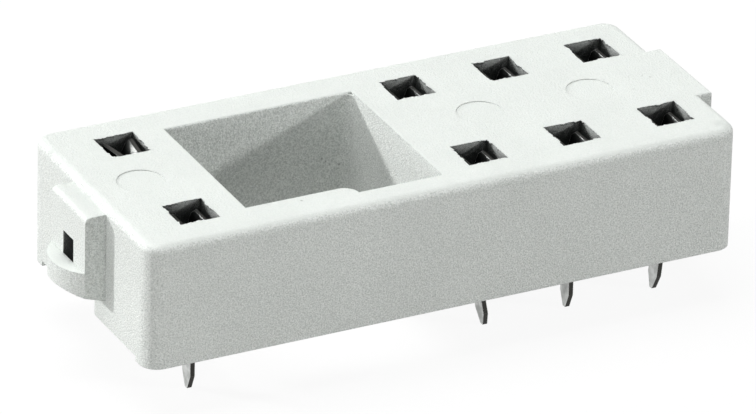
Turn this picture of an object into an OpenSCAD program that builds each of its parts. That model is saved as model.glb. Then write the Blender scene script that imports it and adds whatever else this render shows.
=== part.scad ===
// Printed-circuit socket for a plug-in relay with two changeover poles.
// A one-piece moulded housing holds eight formed contacts in two rows. The
// relay's blades go in from above, and the solder tails go through the board.
// Frame: the origin is the middle of the solder-tail grid, on the board.
// +X runs from the coil contacts to the switch contacts, +Y to the rear row,
// and +Z up to the relay.

/* [Contact grid] */
// Spacing of the switch-contact columns
pitch = 5; // [4.6:0.1:5.6]
// From the coil column to the first switch column
coil_gap = 15; // [14:0.1:17]
// Spacing of the front and rear rows
row_gap = 7.5; // [7.2:0.1:8]

/* [Housing] */
// Height of the housing above the board
body_h = 6.4; // [6.2:0.1:7]
// From a row of ports to the long side beside it
side_wall = 1.68; // [1.5:0.02:2.2]
// From the coil ports to the end face beside them
coil_end_wall = 2.42; // [2.3:0.02:3]
// From the last switch ports to the end face beside them
switch_end_wall = 1.52; // [1.3:0.02:2.2]
// Radius of the upright corners
corner_r = 0.9; // [0.7:0.05:1.1]
// Radius of the edge round the top face
top_edge_r = 0.42; // [0.3:0.02:0.5]
// How far the underside stands off the board
stand_off = 0.24; // [0.15:0.01:0.35]
// Width of the two rails that the housing stands on
rail_w = 1.3; // [0.9:0.05:1.5]

/* [Window] */
// Wall between the coil ports and the window
window_coil_wall = 1.44; // [1:0.02:2]
// Wall between the first switch ports and the window
window_switch_wall = 1.59; // [1.2:0.02:2.4]
// Front wall beside the window, where it is thin
window_front_wall = 1.32; // [1.1:0.02:1.6]
// Rear wall beside the window
window_rear_wall = 2.05; // [1.6:0.05:2.4]
// How far the thick stretch of the front wall stands into the window
rib_t = 0.72; // [0.4:0.02:0.9]
// Length of that thick stretch
rib_l = 5.53; // [4:0.1:7]
// Lean of the window's wall on the switch side, in degrees
window_draft = 3; // [0.5:0.5:4]
// Radius along the window's rear top edge
window_edge_r = 0.12; // [0.05:0.01:0.3]
// Radius of the window's rear corner on the switch side
window_corner_r = 0.45; // [0.3:0.05:0.7]

/* [Ports] */
// Length of a contact port along X
port_l = 2.06; // [2:0.02:2.2]
// Width of a contact port along Y
port_w = 2.14; // [2.04:0.02:2.3]
// Thickness of the floor that a contact stands on
floor_t = 0.96; // [0.8:0.02:1.2]
// Play between a solder tail and its slot in the floor
slot_play = 0.12; // [0.08:0.02:0.2]

/* [Cored underside] */
// Wall left between a port and the hollow under the top
core_wall = 1.1; // [0.9:0.05:1.3]
// Thickness of the ribs between the hollows
core_rib = 1; // [0.8:0.05:1.4]
// Thickness of the top above the hollows
core_top = 1.4; // [1.1:0.1:2]

/* [Ejector-pin marks] */
// Diameter of a mark
pin_d = 2.3; // [1.6:0.1:2.8]
// Depth of a mark
pin_depth = 0.04; // [0.02:0.01:0.08]
// From the coil column out to its mark
pin_coil_out = 0.8; // [0:0.1:1.4]
// From the first switch column to its mark
pin_first_in = 2; // [1.8:0.1:3]
// From the middle switch column to its mark
pin_middle_in = 2.9; // [1.8:0.1:3]

/* [Clip catch, coil end] */
// Width of the catch
catch_w = 3.7; // [3.2:0.1:4.4]
// How far its upper face stands out from the end face
catch_out = 1.06; // [0.8:0.02:1.2]
// Depth of its top below the housing's top
catch_down = 0.36; // [0.3:0.02:0.5]
// Radius where its face meets its top
catch_top_r = 0.25; // [0.15:0.05:0.4]
// How far the rounded lug below it stands out from the end face
lug_out = 1.9; // [1.6:0.05:2.2]
// Depth of the lug's ledge below the top
ledge_down = 3.25; // [3.1:0.05:3.5]
// Height of the lug where it meets the end face
lug_h = 1.64; // [1.5:0.02:1.8]
// Slope of the lug's underside, in degrees
lug_slope = 18; // [10:1:22]
// Width of the slot that the clip hooks into
clip_slot_w = 1.12; // [0.8:0.02:1.3]
// Height of that slot above the ledge
clip_slot_h = 1.18; // [0.9:0.02:1.4]
// Depth of the slot from the catch's face
clip_slot_d = 1.4; // [1.2:0.05:1.6]
// Reach of the notch below the lug, from the middle to the front
notch_front = 0.67; // [0.6:0.01:0.8]
// Reach of that notch to the rear
notch_rear = 1.3; // [1:0.05:1.6]
// Depth of the notch into the end wall
notch_d = 1.15; // [0.9:0.05:1.3]

/* [Clip catch, switch end] */
// Width of the catch
far_catch_w = 5.2; // [4.4:0.1:6]
// How far it stands out from the end face
far_catch_out = 0.58; // [0.4:0.02:0.9]
// Height of the catch down from the top
far_catch_h = 4.85; // [4:0.05:5.2]
// Radius of its top edges
far_catch_r = 0.1; // [0.05:0.01:0.2]

/* [Contacts] */
// Thickness of the contact strip
strip_t = 0.25; // [0.2:0.01:0.3]
// Width of a contact's two leaves
leaf_w = 1.8; // [1.5:0.05:1.95]
// Room between a leaf's foot and the port's wall
leaf_play = 0.18; // [0.12:0.02:0.24]
// Inside radius of the bends at a contact's base
bend_r = 0.13; // [0.1:0.01:0.16]
// Gap between the two leaves where they pinch a blade
pinch_gap = 0.32; // [0.2:0.02:0.45]
// Depth of the pinch below the top face
pinch_down = 1.55; // [1.3:0.05:1.9]
// Radius of a leaf's bow at the pinch
bow_r = 0.8; // [0.6:0.05:1]
// Flare of the leaf tips, in degrees
flare = 20; // [12:1:24]
// Depth of the leaf tips below the top face
tip_down = 0.36; // [0.3:0.02:0.5]
// How much higher the rear coil contact's leaves stand
rear_coil_rise = 0.22; // [0:0.02:0.24]
// How much wider its flare spreads, in degrees
rear_coil_spread = 4; // [0:1:5]
// Chamfer at the corners of a leaf's tip
tip_chamfer = 0.22; // [0.1:0.02:0.35]
// Width of a solder tail
tail_w = 0.85; // [0.7:0.05:1.1]
// Length of a solder tail below the board face
tail_l = 2.85; // [2.6:0.05:3.6]
// Length of its point
tail_point = 0.75; // [0.5:0.05:1]
// Width of the tail's blunt tip
tail_tip_w = 0.22; // [0.14:0.02:0.4]
// Bend of the first front switch contact's tail, in degrees
tail_bend_12 = 10.6; // [0:0.2:12]
// Bend of the last front switch contact's tail, in degrees
tail_bend_14 = -5.5; // [-8:0.5:0]
// Width along X of the ears that hold a contact's base
ear_l = 0.8; // [0.6:0.05:1]

/* [Hidden] */
$fn = 64;

past = 1;                                  // how far a cut runs past a face
coil_x = -(coil_gap + 2 * pitch) / 2;
switch_x = [for (i = [0:2]) coil_x + coil_gap + i * pitch];
port_x = concat([coil_x], switch_x);
row_y = [-row_gap / 2, row_gap / 2];
x0 = coil_x - port_l / 2 - coil_end_wall;
x1 = switch_x[2] + port_l / 2 + switch_end_wall;
body_w = row_gap + port_w + 2 * side_wall;
y0 = -body_w / 2;
y1 = body_w / 2;
floor_z = stand_off + floor_t;

window_x0 = coil_x + port_l / 2 + window_coil_wall;
window_x1 = switch_x[0] - port_l / 2 - window_switch_wall;
window_y0 = y0 + window_front_wall;
window_y1 = y1 - window_rear_wall;

core_y = row_gap / 2 - port_w / 2 - core_wall;
core_z = body_h - core_top;

catch_x = x0 - catch_out;
catch_z = body_h - catch_down;
ledge_z = body_h - ledge_down;
lug_z = ledge_z - lug_h;
lug_rise = lug_out - catch_out;
lug_r = (pow(catch_w / 2, 2) + pow(lug_rise, 2)) / (2 * lug_rise);

leg_x = port_l / 2 - leaf_play - strip_t / 2;
base_z = floor_z + strip_t / 2;            // middle of the base's thickness
mid_r = bend_r + strip_t / 2;              // bend radius at mid-thickness
slot_w = tail_w + 2 * slot_play;
tail_z = -tail_l;
leaf_slot_z = floor_z + (floor_z + tail_l) - leg_x;

// Extrudes a drawing of X and Z along Y, and one of Y and Z along X.
module across(w) rotate([90, 0, 0]) linear_extrude(w, center = true) children();
module along(l) rotate([90, 0, 90]) linear_extrude(l, center = true) children();

// A box from its two corners.
module block(a, b) translate(a) cube(b - a);

// A rectangle with its four corners rounded.
module round_rect(a, b, r) {
    translate([a.x + r, a.y]) square([b.x - a.x - 2 * r, b.y - a.y]);
    translate([a.x, a.y + r]) square([b.x - a.x, b.y - a.y - 2 * r]);
    for (x = [a.x + r, b.x - r], y = [a.y + r, b.y - r])
        translate([x, y]) circle(r);
}

// A rectangle with only its two upper corners rounded.
module round_top(a, b, r) {
    translate(a) square([b.x - a.x, b.y - a.y - r]);
    translate([a.x + r, a.y]) square([b.x - a.x - 2 * r, b.y - a.y]);
    for (x = [a.x + r, b.x - r])
        translate([x, b.y - r]) circle(r);
}

// The outer block: upright corners of one radius, and a softer top edge that
// runs round them as a quarter of a ring.
module outer_block() {
    edge_z = body_h - top_edge_r;
    linear_extrude(edge_z)
        round_rect([x0, y0], [x1, y1], corner_r);
    linear_extrude(body_h)
        round_rect([x0 + top_edge_r, y0 + top_edge_r],
                   [x1 - top_edge_r, y1 - top_edge_r], corner_r - top_edge_r);
    for (y = [y0 + top_edge_r, y1 - top_edge_r])
        translate([x0 + corner_r, y, edge_z]) rotate([0, 90, 0])
            cylinder(r = top_edge_r, h = x1 - x0 - 2 * corner_r);
    for (x = [x0 + top_edge_r, x1 - top_edge_r])
        translate([x, y0 + corner_r, edge_z]) rotate([-90, 0, 0])
            cylinder(r = top_edge_r, h = body_w - 2 * corner_r);
    for (x = [x0 + corner_r, x1 - corner_r], y = [y0 + corner_r, y1 - corner_r])
        translate([x, y, edge_z]) rotate_extrude()
            translate([corner_r - top_edge_r, 0]) circle(top_edge_r);
}

// The catch on the coil end: a flat-faced block a step below the top, and
// under it a lug with a round plan and a sloping underside.
module coil_catch() {
    into = corner_r;
    intersection() {
        across(catch_w) {
            translate([catch_x, lug_z])
                square([catch_out + into, catch_z - lug_z - catch_top_r]);
            translate([catch_x + catch_top_r, lug_z])
                square([catch_out + into - catch_top_r, catch_z - lug_z]);
            translate([catch_x + catch_top_r, catch_z - catch_top_r])
                circle(catch_top_r);
        }
        lug_underside();
    }
    intersection() {
        translate([x0 - lug_out + lug_r, 0, lug_z])
            linear_extrude(lug_h) circle(lug_r);
        block([x0 - lug_out, -catch_w / 2, lug_z], [x0, catch_w / 2, ledge_z]);
        lug_underside();
    }
}

// Everything above the slope that the catch's underside follows.
module lug_underside() {
    reach = lug_out + past;
    across(2 * catch_w)
        polygon([[x0 + past, lug_z], [x0, lug_z],
                 [x0 - reach, lug_z + reach * tan(lug_slope)],
                 [x0 - reach, body_h + past], [x0 + past, body_h + past]]);
}

// The plain catch on the switch end.
module switch_catch() {
    intersection() {
        across(far_catch_w)
            round_top([x1 - corner_r - far_catch_r, body_h - far_catch_h],
                      [x1 + far_catch_out, body_h], far_catch_r);
        along(2 * x1 + 2 * far_catch_out)
            round_top([-far_catch_w / 2, body_h - far_catch_h],
                      [far_catch_w / 2, body_h], far_catch_r);
    }
}

// The opening right through the middle of the housing.
module window() {
    difference() {
        across(2 * body_w)
            polygon([[window_x0, -past], [window_x0, body_h + past],
                     [window_x1 + past * tan(window_draft), body_h + past],
                     [window_x1 - (body_h + past) * tan(window_draft), -past]]);
        block([x0, window_y1, -2 * past], [x1, body_w + past, body_h + 2 * past]);
        block([x0, -body_w - past, -2 * past], [x1, window_y0, body_h + 2 * past]);
        // the thick stretch of the front wall, with its rounded end
        translate([0, 0, -2 * past]) linear_extrude(body_h + 4 * past) {
            translate([window_x0 - past, window_y0 - past])
                square([rib_l + past - rib_t, rib_t + past]);
            translate([window_x0 + rib_l - rib_t, window_y0]) circle(rib_t);
        }
        // the rounded rear corner leans with the wall beside it
        translate([window_x1, window_y1, body_h]) rotate([0, window_draft, 0])
            difference() {
                translate([-window_corner_r, -window_corner_r, -body_h - past])
                    cube([2 * window_corner_r, 2 * window_corner_r, body_h + 2 * past]);
                translate([-window_corner_r, -window_corner_r, -body_h - 2 * past])
                    cylinder(r = window_corner_r, h = body_h + 4 * past);
            }
    }
    // the soft rear edge at the top
    translate([window_x0, 0, 0]) difference() {
        block([0, window_y1 - past, body_h - window_edge_r],
              [window_x1 - window_x0, window_y1 + window_edge_r, body_h + past]);
        translate([-past, window_y1 + window_edge_r, body_h - window_edge_r])
            rotate([0, 90, 0])
                cylinder(r = window_edge_r, h = window_x1 - window_x0 + 2 * past);
    }
}

// One contact's port, down to the floor, and the tail's slot through it.
module port() {
    block([-port_l / 2, -port_w / 2, floor_z], [port_l / 2, port_w / 2, body_h + past]);
    block([-mid_r - strip_t / 2 - slot_play, -slot_w / 2, -past],
          [strip_t / 2 + slot_play, slot_w / 2, floor_z + past]);
}

// The hollows in the underside, which keep the walls even.
module cored_hollows() {
    for (x = [switch_x[0], switch_x[1]])
        block([x + core_rib / 2, -core_y, -past],
              [x + pitch - core_rib / 2, core_y, core_z]);
    block([coil_x - port_l / 2, -core_y, -past],
          [coil_x + port_l / 2, core_y, core_z]);
}

// The slot that the retaining clip hooks into, cored from below, and the
// notch that the core leaves in the end wall under the lug.
module clip_slot() {
    block([catch_x, -clip_slot_w / 2, -past],
          [catch_x + clip_slot_d, clip_slot_w / 2, ledge_z + clip_slot_h]);
    block([catch_x - past, -clip_slot_w / 2, ledge_z],
          [catch_x + clip_slot_d, clip_slot_w / 2, ledge_z + clip_slot_h]);
    block([x0 - past, -notch_front, -past], [x0 + notch_d, notch_rear, lug_z]);
}

// The shallow round marks that the mould's ejector pins leave in the top.
module pin_marks() {
    for (x = [coil_x - pin_coil_out, switch_x[0] + pin_first_in,
              switch_x[1] + pin_middle_in])
        translate([x, 0, body_h - pin_depth]) cylinder(d = pin_d, h = past);
}

module housing() {
    color("#e6e9e3") difference() {
        union() {
            outer_block();
            coil_catch();
            switch_catch();
        }
        window();
        for (x = port_x, y = row_y)
            translate([x, y, 0]) port();
        cored_hollows();
        clip_slot();
        pin_marks();
        block([x0 - past, y0 + rail_w, -past], [x1 + past, y1 - rail_w, stand_off]);
    }
}

// A bar of strip between two points of a side view, with round ends.
module bar(p, q) {
    d = q - p;
    translate(p) rotate(atan2(d.y, d.x))
        translate([0, -strip_t / 2]) square([norm(d), strip_t]);
    for (e = [p, q])
        translate(e) circle(strip_t / 2, $fn = 32);
}

// A bend of strip about a centre, from one angle to another.
module bend(c, r, from, to) {
    reach = 2 * (r + strip_t);
    translate(c) intersection() {
        difference() {
            circle(r + strip_t / 2);
            circle(r - strip_t / 2);
        }
        polygon([[0, 0], reach * [cos(from), sin(from)],
                 reach * [cos((from + to) / 2), sin((from + to) / 2)],
                 reach * [cos(to), sin(to)]]);
    }
}

// Side view of one leaf: up from the base, in to the pinch, and flared out.
module leaf_side(rise, spread) {
    foot = [leg_x, base_z + mid_r];
    knee = [leg_x, foot.y + 2 * strip_t];
    bow = [(pinch_gap + strip_t) / 2 + bow_r, body_h - pinch_down + rise];
    lean = atan2(leg_x - (pinch_gap + strip_t) / 2, bow.y - knee.y);
    bow_in = bow + bow_r * [cos(180 + lean), sin(180 + lean)];
    bow_out = bow + bow_r * [cos(180 - spread), sin(180 - spread)];
    tip_z = body_h - tip_down + rise - strip_t / 2;
    bar([0, base_z], [leg_x - mid_r, base_z]);
    bend([leg_x - mid_r, foot.y], mid_r, -90, 0);
    bar(foot, knee);
    bar(knee, bow_in);
    bend(bow, bow_r, 180 - spread, 180 + lean);
    bar(bow_out, [bow_out.x + (tip_z - bow_out.y) * tan(spread), tip_z]);
}

// Side view of the solder tail: down out of the base, and on below the
// underside at the angle that it stands at.
module tail_side(tilt) {
    root = [0, base_z - mid_r];
    kink = [0, stand_off];
    bend([-mid_r, root.y], mid_r, 0, 90);
    bar(root, kink);
    bar(kink, kink + 2 * tail_l * [tan(tilt), -1]);
}

// Front view of a contact, from its chamfered leaf tips to its pointed tail.
module contact_front(rise) {
    tip_z = body_h - tip_down + rise;
    half = leaf_w / 2;
    polygon([[-half, floor_z], [-half, tip_z - tip_chamfer],
             [-half + tip_chamfer, tip_z], [half - tip_chamfer, tip_z],
             [half, tip_z - tip_chamfer], [half, floor_z]]);
    polygon([[-tail_w / 2, floor_z + strip_t], [-tail_w / 2, tail_z + tail_point],
             [-tail_tip_w / 2, tail_z], [tail_tip_w / 2, tail_z],
             [tail_w / 2, tail_z + tail_point], [tail_w / 2, floor_z + strip_t]]);
}

// One contact: a strip folded to a U, whose two leaves pinch the relay's
// blade. The tail is struck out of one leaf and turned down through the floor.
module contact(tilt = 0, rise = 0, spread = flare) {
    color("#c9c6bd") difference() {
        union() {
            intersection() {
                across(port_w) {
                    leaf_side(rise, spread);
                    mirror([1, 0]) leaf_side(rise, spread);
                    tail_side(tilt);
                }
                along(2 * port_l) contact_front(rise);
            }
            // the ears that bite the port's walls
            block([-ear_l / 2, -port_w / 2, floor_z],
                  [ear_l / 2, port_w / 2, floor_z + strip_t]);
        }
        // the slot that the tail leaves behind, in the base and up the leaf
        block([strip_t / 2, -tail_w / 2, base_z - strip_t],
              [port_l, tail_w / 2, leaf_slot_z]);
    }
}

module coil_contact_a1() { translate([coil_x, row_y[0], 0]) contact(); }
module coil_contact_a2() {
    translate([coil_x, row_y[1], 0])
        contact(0, rear_coil_rise, flare + rear_coil_spread);
}
module contact_12() { translate([switch_x[0], row_y[0], 0]) contact(tail_bend_12); }
module contact_11() { translate([switch_x[1], row_y[0], 0]) contact(); }
module contact_14() { translate([switch_x[2], row_y[0], 0]) contact(tail_bend_14); }
module contact_22() { translate([switch_x[0], row_y[1], 0]) contact(); }
module contact_21() { translate([switch_x[1], row_y[1], 0]) contact(); }
module contact_24() { translate([switch_x[2], row_y[1], 0]) contact(); }

housing();
coil_contact_a1();
coil_contact_a2();
contact_12();
contact_11();
contact_14();
contact_22();
contact_21();
contact_24();
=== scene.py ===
# %% [markdown]
# # Dressing a relay socket
#
# The object is a low socket for a two-pole power relay. It is one pale
# thermoplastic moulding with eight folded metal contacts pressed into it. The
# CAD model already holds every shape at its real size, so this script adds what
# a CAD model can't say: how the moulding and the metal take the light, the
# small marks of their making and wear, and a plain studio to see them in.

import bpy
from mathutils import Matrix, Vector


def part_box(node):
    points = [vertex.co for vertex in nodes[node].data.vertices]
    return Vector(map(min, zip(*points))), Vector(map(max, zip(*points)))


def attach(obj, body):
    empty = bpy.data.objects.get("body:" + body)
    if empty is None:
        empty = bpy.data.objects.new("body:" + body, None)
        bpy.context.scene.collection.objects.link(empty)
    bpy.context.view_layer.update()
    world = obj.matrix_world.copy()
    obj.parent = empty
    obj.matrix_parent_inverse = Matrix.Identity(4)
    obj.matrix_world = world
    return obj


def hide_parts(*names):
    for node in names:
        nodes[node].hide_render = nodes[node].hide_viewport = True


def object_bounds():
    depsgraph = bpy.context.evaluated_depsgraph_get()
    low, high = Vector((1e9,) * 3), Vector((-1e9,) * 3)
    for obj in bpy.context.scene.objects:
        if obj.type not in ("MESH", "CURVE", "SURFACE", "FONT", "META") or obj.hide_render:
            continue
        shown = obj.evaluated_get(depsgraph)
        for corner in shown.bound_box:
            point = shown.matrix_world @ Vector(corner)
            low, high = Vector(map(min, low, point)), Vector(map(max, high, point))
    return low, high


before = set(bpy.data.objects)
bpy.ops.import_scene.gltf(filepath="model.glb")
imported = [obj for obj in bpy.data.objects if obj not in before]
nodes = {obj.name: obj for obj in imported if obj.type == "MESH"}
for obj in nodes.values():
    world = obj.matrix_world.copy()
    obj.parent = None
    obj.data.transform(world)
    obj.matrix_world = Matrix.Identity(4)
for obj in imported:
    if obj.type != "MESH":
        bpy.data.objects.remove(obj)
cad_box = [list(corner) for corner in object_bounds()]

import math

import bpy
import numpy as np
from mathutils import Matrix, Vector

MM = 0.001
print(len(nodes), "CAD nodes, box in mm:", np.round(np.array(cad_box) / MM, 2).tolist())

# %% [markdown]
# ## Colours
#
# Paint charts and screens give colours as sRGB hex values, but the renderer
# adds up light in linear values. One function makes the change, so a colour is
# always written the way that a person would read it off a chart.


# %% From sRGB hex to linear
def linear(hex_colour):
    """RGBA in linear light: each channel of sRGB, less its toe, to the power 2.4."""
    srgb = np.array([int(hex_colour[i : i + 2], 16) for i in (1, 3, 5)]) / 255
    toe = srgb / 12.92
    curve = ((srgb + 0.055) / 1.055) ** 2.4
    return (*np.where(srgb <= 0.04045, toe, curve).tolist(), 1.0)


# %% [markdown]
# ## Building a material
#
# Every finish here is a small graph of nodes. Adding a node always takes the
# same three steps: make it, set what it holds, and join its sockets. One
# function does all three, so each material below reads as a list of what it is.


# %% One function that adds a node
def add(tree, kind, settings=None, **links):
    """Adds a node. Settings go to its properties, links to its sockets: a socket is
    joined if it is given an output, and set to the value otherwise. In a socket's
    name an underscore stands for a space, and a number is the socket's place."""
    node = tree.nodes.new(kind)
    for name, value in (settings or {}).items():
        setattr(node, name, value)
    for name, value in links.items():
        key = int(name[1:]) if name[0] == "_" else name.replace("_", " ")
        if isinstance(value, bpy.types.NodeSocket):
            tree.links.new(value, node.inputs[key])
        else:
            node.inputs[key].default_value = value
    return node


def new_material(name):
    """An empty material and its node tree."""
    material = bpy.data.materials.new(name)
    material.use_nodes = True
    material.node_tree.nodes.clear()
    return material, material.node_tree


# %% [markdown]
# ## Camera
#
# A long lens from some 40 cm keeps the socket's edges almost parallel, as in a
# parts catalogue. The camera stands in front and to the left, so that the coil
# end with its clip catch is the end that shows.

# %% Place the camera
VIEW_TURN = 27.21  # degrees that the view is turned from straight at the front
VIEW_DROP = 27.17  # degrees that it looks down
VIEW_ROLL = -1.49  # degrees that the picture is turned
AIM = Vector((-1.42, -1.17, 3.10)) * MM
DISTANCE = 406.84 * MM
LENS = 409.3  # mm, on a sensor 36 mm wide


def looking(turn, drop, roll):
    """Columns are the camera's right, up and back: forward is the front view turned
    and dropped, and right and up are then turned about it by the roll."""
    t, d, r = np.radians([turn, drop, roll])
    forward = np.array([np.sin(t) * np.cos(d), np.cos(t) * np.cos(d), -np.sin(d)])
    level = np.array([np.cos(t), -np.sin(t), 0.0])
    down = np.cross(forward, level)
    right = level * np.cos(r) + down * np.sin(r)
    up = level * np.sin(r) - down * np.cos(r)
    return Matrix(np.column_stack([right, up, -forward]).tolist())


camera = bpy.data.objects.new("catalogue_camera", bpy.data.cameras.new("catalogue_camera"))
bpy.context.scene.collection.objects.link(camera)
turned = looking(VIEW_TURN, VIEW_DROP, VIEW_ROLL)
camera.matrix_world = Matrix.Translation(AIM + turned.col[2] * DISTANCE) @ turned.to_4x4()
camera.data.lens = LENS
camera.data.clip_start = 10 * MM
bpy.context.scene.camera = camera
print("camera at", [round(x / MM, 1) for x in camera.location], "mm")

# %% [markdown]
# ## White paper floor
#
# Small parts are photographed on white paper, lit so evenly that the paper
# nearly vanishes. A real sheet is matt and slightly grey. Here the floor looks
# white to the lens and to anything that mirrors it, which keeps the background
# pale without more light on the socket. It still takes the socket's shadow,
# and it sends only a plain sheet's light back up.

# %% Lay the floor under the solder tails
FLOOR_HALF = 1.5  # metres from the middle to an edge
PAPER_SEEN = "#FEFEFE"  # what the lens and mirrors see
PAPER_BOUNCE = "#B4B4B2"  # what lights the socket from below
PAPER_GLOW = 0.92  # share of the seen white that no shadow darkens

floor_z = cad_box[0][2]
turns = np.radians([225, 315, 45, 135])
corners = np.column_stack([np.cos(turns), np.sin(turns), np.zeros(4)]) * FLOOR_HALF * math.sqrt(2)
corners[:, 2] = floor_z
paper_mesh = bpy.data.meshes.new("paper_floor")
paper_mesh.from_pydata(corners.tolist(), [], [(0, 1, 2, 3)])
paper_floor = bpy.data.objects.new("paper_floor", paper_mesh)
bpy.context.scene.collection.objects.link(paper_floor)


def either(tree, first, second):
    """The larger of two values, so it is 1 where either of two masks is."""
    return add(tree, "ShaderNodeMath", {"operation": "MAXIMUM"}, _0=first, _1=second).outputs[0]


def seen_directly(tree):
    """1 for rays from the lens, off mirrors and through glass, and 0 for soft light."""
    rays = add(tree, "ShaderNodeLightPath").outputs
    mirrored = either(tree, rays["Is Glossy Ray"], rays["Is Transmission Ray"])
    return either(tree, rays["Is Camera Ray"], mirrored)


paper, tree = new_material("matt_white_paper")
bounce = add(tree, "ShaderNodeBsdfDiffuse", Color=linear(PAPER_BOUNCE))
matt = add(tree, "ShaderNodeBsdfDiffuse", Color=linear(PAPER_SEEN))
white = add(tree, "ShaderNodeEmission", Color=(1, 1, 1, 1), Strength=1.0)
lifted = add(tree, "ShaderNodeMixShader", _0=PAPER_GLOW, _1=matt.outputs[0], _2=white.outputs[0])
sheet = add(tree, "ShaderNodeMixShader", _0=seen_directly(tree), _1=bounce.outputs[0], _2=lifted.outputs[0])
add(tree, "ShaderNodeOutputMaterial", Surface=sheet.outputs[0])
paper_mesh.materials.append(paper)
print("paper at", round(floor_z / MM, 2), "mm")

# %% [markdown]
# ## Lamps
#
# The key lamp is behind and to the left, and low, so that it rakes over the
# top, lights the coil end and leaves the front in shade. Its light falls into
# the window on the wall at the switch side. The large soft lamp overhead gives
# the top its even tone, and a faint soft one from the left eases the step down
# to the coil end. A weak low lamp opens the shaded front, and a small one from
# the front right reaches the rear walls of the window and the ports. Each is
# set by how bright it makes a white surface square to it, which is easier to
# think about than watts.


# %% Hang the lamps
def lamp(name, toward, level, size, distance=0.6):
    """A soft disc lamp that faces the socket. Its level is how bright it makes a white
    surface square to it, so its power is level times pi squared times distance squared."""
    data = bpy.data.lights.new(name, "AREA")
    data.shape = "DISK"
    data.size = size
    data.energy = level * math.pi**2 * distance**2
    lit = bpy.data.objects.new(name, data)
    bpy.context.scene.collection.objects.link(lit)
    direction = Vector(toward).normalized()
    facing = direction.to_track_quat("Z", "Y").to_matrix().to_4x4()
    lit.matrix_world = Matrix.Translation(direction * distance) @ facing
    print(name, "gives", level, "of white and", round(data.energy, 2), "W")


lamp("key_lamp", toward=(-1.0, 0.86, 0.44), level=0.63, size=0.05)
lamp("top_lamp", toward=(-0.15, 0.15, 1.0), level=0.97, size=0.5)
lamp("side_lamp", toward=(-1.0, 0.1, 0.7), level=0.13, size=0.6)
lamp("low_lamp", toward=(-0.85, -0.8, 0.15), level=0.25, size=0.25)
lamp("fill_lamp", toward=(1.0, -0.8, 0.41), level=0.36, size=0.05)

# %% [markdown]
# ## The room around
#
# The room gives no light of its own, because the lamps are the whole of it.
# The lens and the tinned metal see it as white, as they would see the paper
# and a white wall behind it.

# %% A white room that sheds no light
world = bpy.data.worlds.new("studio")
world.use_nodes = True
tree = world.node_tree
tree.nodes.clear()
room = add(tree, "ShaderNodeBackground", Color=(1, 1, 1, 1), Strength=seen_directly(tree))
add(tree, "ShaderNodeOutputWorld", Surface=room.outputs[0])
bpy.context.scene.world = world
bpy.context.scene.view_settings.view_transform = "Standard"

# %% [markdown]
# ## Where little light comes out
#
# The contact ports are 2 mm square and filled with dark folded metal, and the
# clip slot is narrower still. A pale wall in such a hole looks nearly black,
# since the light that enters it is lost in gaps far smaller than this model
# holds. An ambient occlusion node measures how much of the open room a point
# can see within a couple of millimetres, and where it sees little the colour
# is painted dark: painted shade. The large window stays bright, because its
# walls face each other across 9 mm.


# %% Measure how open a surface is
def openness(tree, reach, shut, clear):
    """0 where a point sees less than the share shut of its surroundings within
    reach, 1 where it sees more than the share clear, and a smooth step between."""
    sight = add(tree, "ShaderNodeAmbientOcclusion", {"samples": 8}, Distance=reach)
    limits = {"From_Min": shut, "From_Max": clear, "To_Min": 0.0, "To_Max": 1.0}
    step = {"interpolation_type": "SMOOTHSTEP"}
    return add(tree, "ShaderNodeMapRange", step, Value=sight.outputs["AO"], **limits).outputs[0]


def blend(tree, share, first, second):
    """A colour between two others: the first where the share is 0, the second at 1."""
    mix = add(tree, "ShaderNodeMix", {"data_type": "RGBA"}, _0=share, _6=first, _7=second)
    return mix.outputs[2]


def noise(tree, place, size, detail=2.0):
    """Cloudy noise whose patches are about size across, in metres."""
    return add(tree, "ShaderNodeTexNoise", Vector=place, Scale=1 / size, Detail=detail).outputs[0]


def stretch(tree, value, low, high, start, end):
    """Takes a value from the span low to high to the span start to end."""
    spans = {"From_Min": low, "From_Max": high, "To_Min": start, "To_Max": end}
    return add(tree, "ShaderNodeMapRange", Value=value, **spans).outputs[0]


# %% [markdown]
# ## The housing's plastic
#
# The housing is moulded in glass-filled PBT, a pale grey polyester that stands
# soldering heat. It is matt because its mould was spark eroded, which leaves a
# fine even grain all over. The grain is a bump and also a tone: the same noise
# darkens its hollows and lightens its crests. On the sides and in the window
# that tone is strong, a painted light and shade of lamps raking across the
# grain, while on the top it is faint.
# Glass fibres near the skin give faint clouds a few millimetres across. A real
# grain is some 0.03 mm wide, and here it is drawn at 0.07 mm so that it shows.

# %% Grain, clouds and softened edges
GRAIN = 0.07 * MM
GRAIN_DEPTH = 0.055 * MM
CLOUD = 3.5 * MM
EDGE = 0.05 * MM  # moulded edges are never quite sharp
PORT_SIGHT = 2.6 * MM  # a little more than the width of a port


def faces_along(tree, direction, limit):
    """1 where a surface faces more than limit along a direction, either way."""
    size = add(tree, "ShaderNodeMath", {"operation": "ABSOLUTE"}, _0=direction).outputs[0]
    return add(tree, "ShaderNodeMath", {"operation": "GREATER_THAN"}, _0=size, _1=limit).outputs[0]


plastic, tree = new_material("spark_eroded_pale_grey_PBT")
coordinates = add(tree, "ShaderNodeTexCoord").outputs
place = coordinates["Object"]
facing = add(tree, "ShaderNodeSeparateXYZ", Vector=coordinates["Normal"]).outputs
grain = noise(tree, place, GRAIN)
clouds = noise(tree, place, CLOUD)
edges = add(tree, "ShaderNodeBevel", {"samples": 4}, Radius=EDGE)
depth = {"Strength": 1.0, "Distance": GRAIN_DEPTH}
relief = add(tree, "ShaderNodeBump", Height=grain, Normal=edges.outputs[0], **depth)

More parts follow.
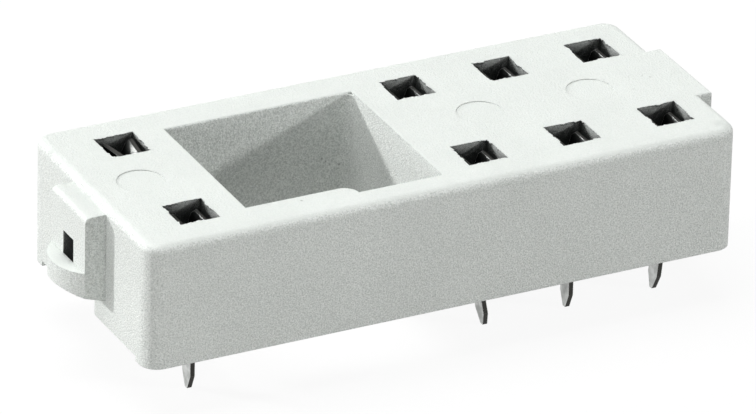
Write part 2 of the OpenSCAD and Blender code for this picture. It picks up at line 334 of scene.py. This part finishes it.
speckle = stretch(tree, grain, 0.3, 0.7, 0.0, 1.0)
# Painted light and shade: upright faces get a strong light and dark speckle that stands for lamps raking
# across the grain.
side_grain_and_painted_raking_light = blend(tree, speckle, linear("#BFC4C0"), linear("#F6F9F6"))
top_tone = blend(tree, speckle, linear("#D9DEDA"), linear("#E3E7E3"))
body_tone = blend(tree, faces_along(tree, facing["Z"], 0.7), side_grain_and_painted_raking_light, top_tone)
body_tone = blend(tree, stretch(tree, clouds, 0.35, 0.65, 0.07, 0.0), body_tone, linear("#A4AAA5"))
print("plastic:", len(tree.nodes), "nodes for its grain, clouds and edges")

# %% [markdown]
# ## Handling marks
#
# A socket out of a parts drawer carries small marks. Here they are a scuff and
# two specks on the rear wall of the window, specks on the top beside the
# switch ports, and smudges at two corners. Each is a soft ball of darker tone
# round a point on the surface: its distance from the point, in all three
# directions, sets how much tone it adds.

# %% Scatter the marks
MARKS = (  # place in mm, radius in mm, darkness
    ((-1.62, 4.45, 3.10), 0.07, 0.55),
    ((-1.42, 4.45, 2.92), 0.06, 0.50),
    ((-1.20, 4.45, 2.70), 0.07, 0.45),
    ((-0.69, 4.45, 2.62), 0.08, 0.55),
    ((-7.32, -4.85, 6.40), 0.09, 0.45),
    ((13.69, 0.03, 6.40), 0.08, 0.35),
    ((13.40, 0.30, 6.40), 0.06, 0.30),
    ((12.33, -0.79, 6.40), 0.07, 0.30),
    ((11.51, 0.64, 6.40), 0.06, 0.30),
    ((14.37, -5.70, 6.38), 0.45, 0.12),
    ((-15.80, 4.59, 6.30), 0.30, 0.12),
)
tone = body_tone
for centre, radius, darkness in MARKS:
    point = tuple(x * MM for x in centre)
    apart = add(tree, "ShaderNodeVectorMath", {"operation": "DISTANCE"}, _0=place, _1=point)
    share = stretch(tree, apart.outputs["Value"], 0.3 * radius * MM, radius * MM, darkness, 0.0)
    tone = blend(tree, share, tone, linear("#4C504D"))
print(len(MARKS), "handling marks")

# %% [markdown]
# ## Finishing the plastic
#
# PBT has an index of refraction of about 1.57. Its roughness rises and falls
# a little with the grain, so the gloss breaks up instead of sliding over the
# surface as on a glazed one.

# %% Shade the housing
# Painted shade: where the ports and the clip slot shut a wall in, its tone goes near black.
in_the_open = openness(tree, PORT_SIGHT, shut=0.36, clear=0.46)
tone = blend(tree, in_the_open, linear("#232725"), tone)
gloss = stretch(tree, grain, 0.3, 0.7, 0.50, 0.62)
surface = add(tree, "ShaderNodeBsdfPrincipled", Base_Color=tone, Roughness=gloss, IOR=1.57)
tree.links.new(relief.outputs[0], surface.inputs["Normal"])
add(tree, "ShaderNodeOutputMaterial", Surface=surface.outputs[0])
nodes["housing"].data.materials.clear()
nodes["housing"].data.materials.append(plastic)
print("housing finished with", len(tree.nodes), "nodes")

# %% [markdown]
# ## The contacts' metal
#
# The contacts are blanked from tinned brass strip and then folded. The strip's
# two broad faces keep their rolled tin, a soft silver grey with fine lines
# along the roll. The edges were sheared through after the tinning, so they are
# darker and rougher. A contact's sheared sides face along Y, and the cut tips
# of its leaves face up, so the direction of the surface tells the two apart.

# %% Rolled faces and sheared edges
ROLL_LINE = 0.05 * MM  # spacing of the roll's fine lines, across the strip
ROLL_DEPTH = 0.004 * MM
DULL_PATCH = 0.5 * MM  # breadth of the patches where the tin has dulled
TIP_HEIGHT = 4 * MM  # above this, a face that looks up is a leaf's cut tip
EDGE_WEAR_AND_HIGHLIGHT = 0.05 * MM  # how far from an edge the tone is lighter: worn tin and a painted highlight

metal, tree = new_material("tinned_brass_strip")
coordinates = add(tree, "ShaderNodeTexCoord").outputs
facing = add(tree, "ShaderNodeSeparateXYZ", Vector=coordinates["Normal"]).outputs
height = add(tree, "ShaderNodeSeparateXYZ", Vector=coordinates["Object"]).outputs["Z"]
side_cut = faces_along(tree, facing["Y"], 0.5)
raised = add(tree, "ShaderNodeMath", {"operation": "GREATER_THAN"}, _0=height, _1=TIP_HEIGHT).outputs[0]
looks_up = faces_along(tree, facing["Z"], 0.7)
tip_cut = add(tree, "ShaderNodeMath", {"operation": "MULTIPLY"}, _0=looks_up, _1=raised).outputs[0]
cut = either(tree, side_cut, tip_cut)

# %% [markdown]
# ## Finishing the metal
#
# The roll's lines run along the strip, which stands upright in a leaf and a
# tail. Noise squeezed along Z by a Mapping node draws them. Tin dulls with
# handling, and patches of that dullness lift the roughness. Where a port shuts
# the leaves in, their tone is painted nearly black: painted shade. The tails
# below the board face are left out of it.
#
# Along the folded and cut edges the tone is lighter: the tin is partly rubbed
# bright there, and partly this is a painted highlight, as of a burr catching a
# lamp. A Bevel node rounds the normal close to an edge, so there it turns away
# from the true normal, and their dot product falls below 1.

# %% Shade the contacts
squeezed = add(tree, "ShaderNodeMapping", Vector=coordinates["Object"], Scale=(1.0, 1.0, 0.06)).outputs[0]
lines = noise(tree, squeezed, ROLL_LINE)
dulling = noise(tree, coordinates["Object"], DULL_PATCH)
rolled = blend(tree, stretch(tree, dulling, 0.35, 0.65, 0.0, 1.0), linear("#CDCFCD"), linear("#A3A5A3"))
strip_tone = blend(tree, cut, rolled, linear("#3A3A38"))
# Painted shade: the leaves turn near black where the port shuts them in.
in_the_open = openness(tree, PORT_SIGHT, shut=0.38, clear=1.0)
below_board = add(tree, "ShaderNodeMath", {"operation": "LESS_THAN"}, _0=height, _1=0.0).outputs[0]
strip_tone = blend(tree, either(tree, in_the_open, below_board), linear("#161817"), strip_tone)
rounded = add(tree, "ShaderNodeBevel", {"samples": 4}, Radius=EDGE_WEAR_AND_HIGHLIGHT).outputs[0]
flat = add(tree, "ShaderNodeNewGeometry").outputs["Normal"]
agree = add(tree, "ShaderNodeVectorMath", {"operation": "DOT_PRODUCT"}, _0=rounded, _1=flat).outputs["Value"]
# Worn tin and a painted highlight: a lighter tone along the folded and cut edges.
strip_tone = blend(tree, stretch(tree, agree, 0.80, 0.98, 0.8, 0.0), strip_tone, linear("#D9DBD9"))
rolled_gloss = stretch(tree, dulling, 0.3, 0.7, 0.42, 0.58)
gloss = stretch(tree, cut, 0.0, 1.0, rolled_gloss, 0.6)
relief = add(tree, "ShaderNodeBump", Strength=0.5, Distance=ROLL_DEPTH, Height=lines)
surface = add(tree, "ShaderNodeBsdfPrincipled", Base_Color=strip_tone, Metallic=1.0, Roughness=gloss)
tree.links.new(relief.outputs[0], surface.inputs["Normal"])
add(tree, "ShaderNodeOutputMaterial", Surface=surface.outputs[0])
contacts = {name: node for name, node in nodes.items() if name != "housing"}
for node in contacts.values():
    node.data.materials.clear()
    node.data.materials.append(metal)
print(len(contacts), "contacts in", metal.name)

# %% [markdown]
# ## The sprung rear coil contact
#
# One contact has been sprung: the two leaves of the rear coil contact stand
# apart at the rear and close up at the front, as a V seen from above, and the
# left one has been pushed towards the middle. A blade put in askew does that.
# The CAD model holds the contact as it was folded. This piece stands for it: a
# copy of its mesh, with its loose triangles merged, whose leaves turn and lean
# more the higher they are.


# %% Splay the leaves
import bmesh


def splayed(points, centre, low, high, slopes, leans):
    """Shears each leaf outwards along X by its slope times its distance behind the
    centre along Y, less its lean, by nothing below low and by all of it above high."""
    rise = np.clip((points[:, 2] - low) / (high - low), 0.0, 1.0)
    right = points[:, 0] > centre[0]
    outwards = np.where(right, 1.0, -1.0)
    slope = np.where(right, slopes[1], slopes[0])
    lean = np.where(right, leans[1], leans[0])
    moved = points.copy()
    moved[:, 0] += outwards * (slope * (points[:, 1] - centre[1]) - lean) * rise**2
    return moved


LEAF_LENGTH = 3.5 * MM  # from a leaf's foot to its tip
WELD = 0.001 * MM  # corners nearer than this are one
SLOPES = (0.18, 0.13)  # of the left and the right leaf's top, seen from above
LEANS = (0.22 * MM, 0.0)  # of the left and the right leaf towards the middle
sprung_from = "coil_contact_a2"
low_corner, high_corner = (np.array(corner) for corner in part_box(sprung_from))
sprung_mesh = nodes[sprung_from].data.copy()
sprung_mesh.name = "sprung_coil_contact"
work = bmesh.new()
work.from_mesh(sprung_mesh)
bmesh.ops.remove_doubles(work, verts=work.verts, dist=WELD)
work.to_mesh(sprung_mesh)
work.free()

points = np.empty(len(sprung_mesh.vertices) * 3)
sprung_mesh.vertices.foreach_get("co", points)
leaf_foot = high_corner[2] - LEAF_LENGTH
middle = (low_corner + high_corner) / 2
turned_points = splayed(points.reshape(-1, 3), middle, leaf_foot, high_corner[2], SLOPES, LEANS)
sprung_mesh.vertices.foreach_set("co", turned_points.ravel())
sprung_mesh.shade_smooth()
sprung_mesh.set_sharp_from_angle(angle=math.radians(30))
sprung_mesh.update()
sprung = bpy.data.objects.new("sprung_coil_contact", sprung_mesh)
bpy.context.scene.collection.objects.link(sprung)
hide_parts(sprung_from)
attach(sprung, "root")
moved_most = np.abs(turned_points - points.reshape(-1, 3)).max() / MM
print("leaves turned by up to", round(float(moved_most), 3), "mm")

# %% [markdown]
# ## Flash round the ports
#
# Where the mould's cores shut against its face, a little plastic creeps into
# the gap and leaves flash: a thin ragged lip round the rim of each port. It is
# mostly under a tenth of a millimetre wide, but it is why the rims of the
# ports don't look machined. Each lip is a thin closed band carried round the
# port's rim. Its width along the way is a sum of a few waves with their own
# phases, cut off where it falls below a bare edge, so it comes and goes.

# %% Lips from a profile carried round a rim
PORT_HALF = np.array([1.03, 1.07]) * MM  # half the length and width of a port
ROUND_STEPS = 240
LIP_MOST = 0.16 * MM
LIP_BURIED = 0.05 * MM  # how far the lip's root lies in the housing
LIP_THICK = 0.035 * MM
LIP_PROUD = 0.002 * MM  # how far the lip stands above the top
LIP_BIAS = 0.12  # how far the ragged stretches outweigh the bare ones
LIP_LEAST = 0.06  # the width of a bare stretch, as a share of the most
WAVES = np.array([3, 7, 13, 22, 34, 51])


def wave(share):
    """A triangle wave: 1 at each whole share, -1 halfway, straight between."""
    return 4 * np.abs((share % 1.0) - 0.5) - 1


def rim_point(share):
    """Points round a rectangle from -1 to 1, along each side in turn: one coordinate
    slides while the other holds, which clipping two triangle waves gives."""
    return np.clip(2 * np.column_stack([wave(share + 0.125), wave(share - 0.125)]), -1, 1)


def lip_width(share, seed):
    """A sum of waves with seeded phases, each weaker as it gets finer, plus a small
    bias, held between the bare width and the most."""
    phases = np.random.default_rng(seed).uniform(0, 2 * np.pi, len(WAVES))
    waves = np.sin(2 * np.pi * WAVES * share[:, None] + phases) / np.sqrt(WAVES)
    return LIP_MOST * np.clip(waves.sum(axis=1) / 2.2 + LIP_BIAS, LIP_LEAST, 1.0)


def lip(centre, top, seed):
    """Points and quads of a closed band: at each step round the rim, four corners of
    a thin section, from its root inside the plastic to its ragged inner edge."""
    share = np.arange(ROUND_STEPS) / ROUND_STEPS
    rim = rim_point(share)
    width = lip_width(share, seed)[:, None]
    root = centre + rim * (PORT_HALF + LIP_BURIED)
    edge = centre + rim * (PORT_HALF - width)
    lower = np.full((ROUND_STEPS, 1), top - LIP_THICK)
    upper = np.full((ROUND_STEPS, 1), top + LIP_PROUD)
    ring = ((root, upper), (edge, upper), (edge, lower), (root, lower))
    grid = np.stack([np.hstack(corner) for corner in ring], axis=1)
    step, side = np.meshgrid(np.arange(ROUND_STEPS), np.arange(4), indexing="ij")
    here, ahead = step * 4, (step + 1) % ROUND_STEPS * 4
    beside = (side + 1) % 4
    quads = np.stack([here + side, here + beside, ahead + beside, ahead + side], axis=-1)
    return grid.reshape(-1, 3), quads.reshape(-1, 4)


# %% Put a lip round each of the eight ports
top_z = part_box("housing")[1][2]
straight = ("coil_contact_a2", "contact_22", "contact_21", "contact_24")
port_xs = [sum(corner[0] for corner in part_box(name)) / 2 for name in straight]
rows = [sum(corner[1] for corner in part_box(name)) / 2 for name in ("coil_contact_a1", "coil_contact_a2")]
all_points, all_quads = [], []
for count, (x, y) in enumerate((x, y) for y in rows for x in port_xs):
    some_points, some_quads = lip(np.array([x, y]), top_z, seed=count + 1)
    all_quads.append(some_quads + len(all_points) * len(some_points))
    all_points.append(some_points)

flash_mesh = bpy.data.meshes.new("port_flash")
flash_mesh.from_pydata(np.vstack(all_points).tolist(), [], np.vstack(all_quads).tolist())
work = bmesh.new()
work.from_mesh(flash_mesh)
bmesh.ops.recalc_face_normals(work, faces=work.faces)
work.to_mesh(flash_mesh)
work.free()
flash_mesh.materials.append(plastic)
flash = bpy.data.objects.new("port_flash", flash_mesh)
bpy.context.scene.collection.objects.link(flash)
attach(flash, "root")
print(len(all_points), "lips,", len(flash_mesh.polygons), "faces")
